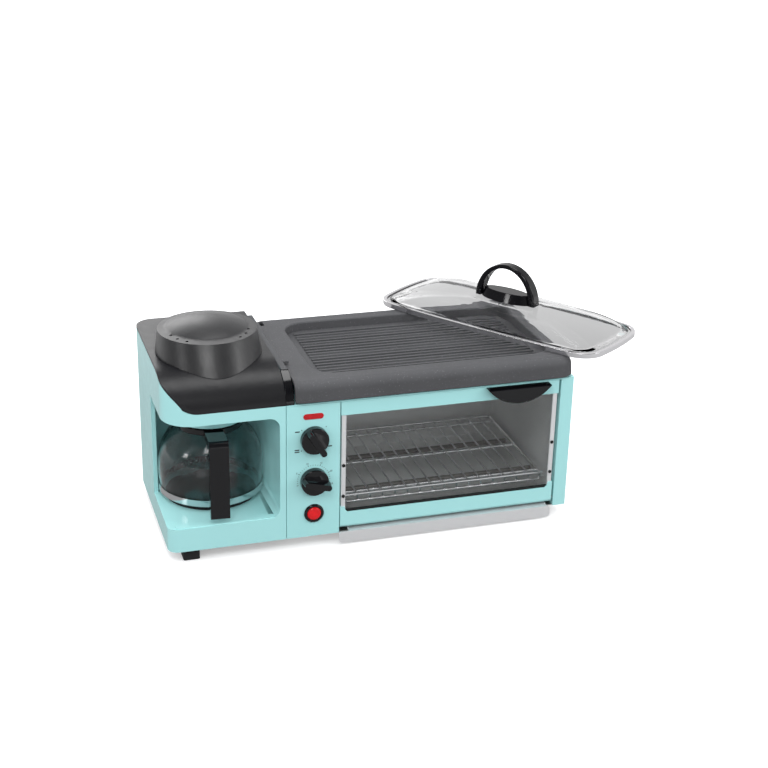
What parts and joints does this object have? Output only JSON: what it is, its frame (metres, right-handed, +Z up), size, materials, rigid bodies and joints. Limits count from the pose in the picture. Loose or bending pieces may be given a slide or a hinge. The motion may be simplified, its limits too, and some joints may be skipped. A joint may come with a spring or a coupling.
{
  "type": "breakfast station",
  "caption": "Table-top cabinet with a drip coffee maker and glass carafe, a glass-door toaster oven, and a ridged lift-off griddle with a loose glass lid.",
  "frame": {"origin": "middle of the whole footprint, lid included, on the table plane", "axes": "+X to the right seen from the front, +Y to the back, +Z up"},
  "size_m": [0.592, 0.3174, 0.2813],
  "materials": {
    "aqua_plastic": "smooth glossy pastel enamel colour",
    "aqua_metal": "glossy pastel enamel",
    "black_satin": "satin moulded plastic",
    "black_gloss": "glossy moulded plastic",
    "nonstick": "cast plate with speckled matte non-stick coat",
    "clear_glass": "clear tempered glass",
    "clear_plastic": "translucent moulded plastic",
    "bright_steel": "polished steel",
    "wire_steel": "bright plated wire",
    "liner_steel": "aluminised sheet, slightly dark",
    "tray_metal": "light satin sheet",
    "red_lens": "glossy translucent red",
    "rubber": "matte rubber",
    "ceramic": "matte ceramic",
    "heater_sheath": "oxidised tube sheath",
    "seal": "matte silicone",
    "inner_plastic": "plain moulded plastic",
    "aluminium": "plain aluminium",
    "plated_steel": "zinc plated",
    "dark_coat": "dark heat-proof coat"
  },
  "bodies": {
    "cabinet": {"coffee_housing": "aqua_plastic", "top_deck": "black_satin", "drum_lid_pin": "plated_steel", "filter_basket": "black_satin", "valve_spring": "plated_steel", "water_tank": "clear_plastic", "boiler_tube": "aluminium", "water_hoses": "seal", "spray_tube": "inner_plastic", "warming_plate": "dark_coat", "control_panel": "aqua_metal", "lamp_window": "red_lens", "lamp_body": "inner_plastic", "function_switch": "inner_plastic", "timer_body": "plated_steel", "button_bezel": "black_gloss", "button_switch": "inner_plastic", "oven_case": "aqua_metal", "cavity_liner": "liner_steel", "upper_heaters": "heater_sheath", "lower_heaters": "heater_sheath", "heater_end_blocks": "ceramic", "rack_runners": "liner_steel", "front_trim": "black_gloss", "feet": "rubber", "foot_screws": "plated_steel", "coffee_base_plate": "inner_plastic", "oven_base_plate": "plated_steel", "back_cover": "dark_coat", "back_cover_screws": "plated_steel", "cord_inlet": "black_satin"},
    "drum_lid": {"drum_lid": "black_satin"},
    "drip_valve": {"drip_valve": "seal"},
    "carafe": {"carafe_glass": "clear_glass", "carafe_band": "bright_steel", "carafe_handle": "black_gloss", "carafe_lid": "black_gloss"},
    "function_knob": {"function_knob": "black_gloss", "function_shaft": "inner_plastic"},
    "timer_knob": {"timer_knob": "black_gloss", "timer_shaft": "inner_plastic"},
    "power_button": {"power_button": "red_lens"},
    "oven_door": {"door_top_rail": "aqua_metal", "door_bottom_rail": "aqua_metal", "door_side_strips": "tray_metal", "door_glass": "clear_glass", "door_gasket": "seal", "door_rivets": "black_gloss", "door_hinge_pins": "plated_steel", "door_pull": "black_gloss", "door_pull_screws": "plated_steel"},
    "rack": {"wire_rack": "wire_steel"},
    "crumb_tray": {"crumb_tray": "tray_metal"},
    "griddle": {"griddle": "nonstick"},
    "glass_lid": {"lid_glass": "clear_glass", "lid_rim": "bright_steel", "lid_handle_base": "black_gloss", "lid_handle": "black_gloss", "lid_handle_screw": "plated_steel"}
  },
  "joints": [
    {"name": "drum_lid_hinge", "type": "hinge", "parent": "cabinet", "child": "drum_lid", "pos_m": [-0.22748, 0.03177, 0.2285], "axis": [-1, 0, 0], "range_deg": [0, 95]},
    {"name": "drip_valve_lift", "type": "slide", "parent": "cabinet", "child": "drip_valve", "axis": [0, 0, 1], "range_m": [0, 0.004], "stiffness_N_per_m": 60, "deforming": ["valve_spring"]},
    {"name": "carafe_slide", "type": "slide", "parent": "cabinet", "child": "carafe", "axis": [0, -1, 0], "range_m": [0, 0.16]},
    {"name": "function_knob_turn", "type": "hinge", "parent": "cabinet", "child": "function_knob", "pos_m": [-0.12638, -0.13973, 0.1397], "axis": [0, 1, 0], "range_deg": [0, 247]},
    {"name": "timer_knob_turn", "type": "hinge", "parent": "cabinet", "child": "timer_knob", "pos_m": [-0.12638, -0.13973, 0.0873], "axis": [0, 1, 0], "range_deg": [-283, 47]},
    {"name": "power_button_press", "type": "slide", "parent": "cabinet", "child": "power_button", "axis": [0, 1, 0], "range_m": [0, 0.0025], "stiffness_N_per_m": 400},
    {"name": "oven_door_hinge", "type": "hinge", "parent": "cabinet", "child": "oven_door", "pos_m": [0.04002, -0.13473, 0.025], "axis": [1, 0, 0], "range_deg": [0, 90]},
    {"name": "rack_slide", "type": "slide", "parent": "cabinet", "child": "rack", "axis": [0, -1, 0], "range_m": [0, 0.048]},
    {"name": "crumb_tray_slide", "type": "slide", "parent": "cabinet", "child": "crumb_tray", "axis": [0, -1, 0], "range_m": [0, 0.12]},
    {"name": "griddle_lift", "type": "slide", "parent": "cabinet", "child": "griddle", "axis": [0, 0, 1], "range_m": [0, 0.12]},
    {"name": "glass_lid_lift", "type": "slide", "parent": "griddle", "child": "glass_lid", "axis": [0, 0, 1], "range_m": [0, 0.15]}
  ],
  "couplings": [
    {"joint": "rack_slide", "follows": "oven_door_hinge", "m_per_rad": 0.03}
  ]
}
